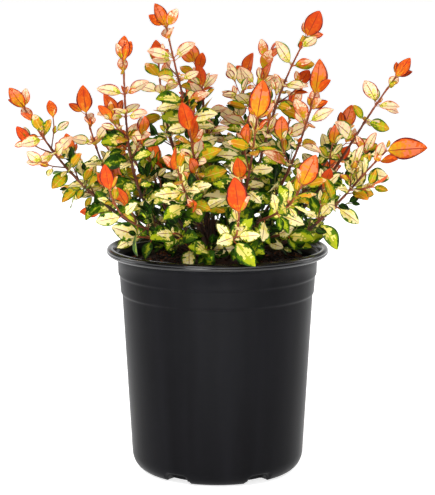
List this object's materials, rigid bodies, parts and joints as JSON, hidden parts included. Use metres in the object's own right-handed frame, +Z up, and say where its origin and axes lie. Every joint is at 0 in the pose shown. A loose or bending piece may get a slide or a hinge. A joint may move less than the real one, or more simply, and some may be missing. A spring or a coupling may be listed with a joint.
{
  "type": "potted jasmine",
  "caption": "Variegated jasmine plant of many short leafy shoots in a round black nursery pot, with coral young leaves over cream and green ones.",
  "frame": {"origin": "middle of the pot's flat underside, where it stands", "axes": "+Z up along the pot's axis, -Y towards the side that the picture shows, +X to that side's right"},
  "size_m": [0.3063, 0.2592, 0.3539],
  "materials": {
    "pot": "black moulded plastic, softly shining on its lip and steps",
    "soil": "dark damp bark mix",
    "old_stem": "rough grey-brown bark",
    "young_stem": "smooth maroon-brown bark",
    "young_leaf": "glossy coral and salmon leaf with a yellow base",
    "cream_leaf": "cream leaf with a dark green edge",
    "green_leaf": "glossy green leaf with a yellow-green middle"
  },
  "bodies": {
    "root": {"pot": "pot", "soil": "soil", "crown": "old_stem", "stem_far_left": "young_stem", "stem_left_inner": "young_stem", "stem_left_tall": "young_stem", "stem_tulip": "young_stem", "stem_tallest": "young_stem", "stem_centre_back": "young_stem", "stem_centre_far": "young_stem", "stem_right_far": "young_stem", "stem_right_tall": "young_stem", "stem_right_mid": "young_stem", "stem_far_right": "young_stem", "stem_low_right": "young_stem", "stem_front_tall": "young_stem", "stem_front_left": "young_stem", "stem_back_left": "young_stem", "stem_back_middle": "young_stem", "stem_back_right": "young_stem", "stem_side_left": "young_stem", "stem_side_right": "young_stem", "foliage_far_left": "young_leaf", "foliage_left_inner": "young_leaf", "foliage_left_tall": "young_leaf", "foliage_tulip": "young_leaf", "foliage_tallest": "young_leaf", "foliage_centre_back": "young_leaf", "foliage_centre_far": "young_leaf", "foliage_right_far": "young_leaf", "foliage_right_tall": "young_leaf", "foliage_right_mid": "young_leaf", "foliage_far_right": "young_leaf", "foliage_low_right": "young_leaf", "foliage_front_tall": "young_leaf", "foliage_front_left": "young_leaf", "foliage_back_left": "young_leaf", "foliage_back_middle": "young_leaf", "foliage_back_right": "young_leaf", "foliage_side_left": "young_leaf", "foliage_side_right": "young_leaf", "foliage_inner_left": "cream_leaf", "foliage_front_1": "cream_leaf", "foliage_front_2": "cream_leaf", "foliage_front_3": "cream_leaf", "foliage_front_4": "cream_leaf", "foliage_rear_1": "cream_leaf", "foliage_rear_2": "cream_leaf", "foliage_rear_3": "cream_leaf", "foliage_skirt_1": "green_leaf", "foliage_skirt_2": "green_leaf", "foliage_skirt_3": "green_leaf", "foliage_skirt_4": "green_leaf", "foliage_skirt_5": "green_leaf", "foliage_skirt_6": "green_leaf", "foliage_skirt_7": "green_leaf", "foliage_skirt_8": "green_leaf", "foliage_skirt_9": "green_leaf", "foliage_skirt_10": "green_leaf"}
  },
  "joints": []
}
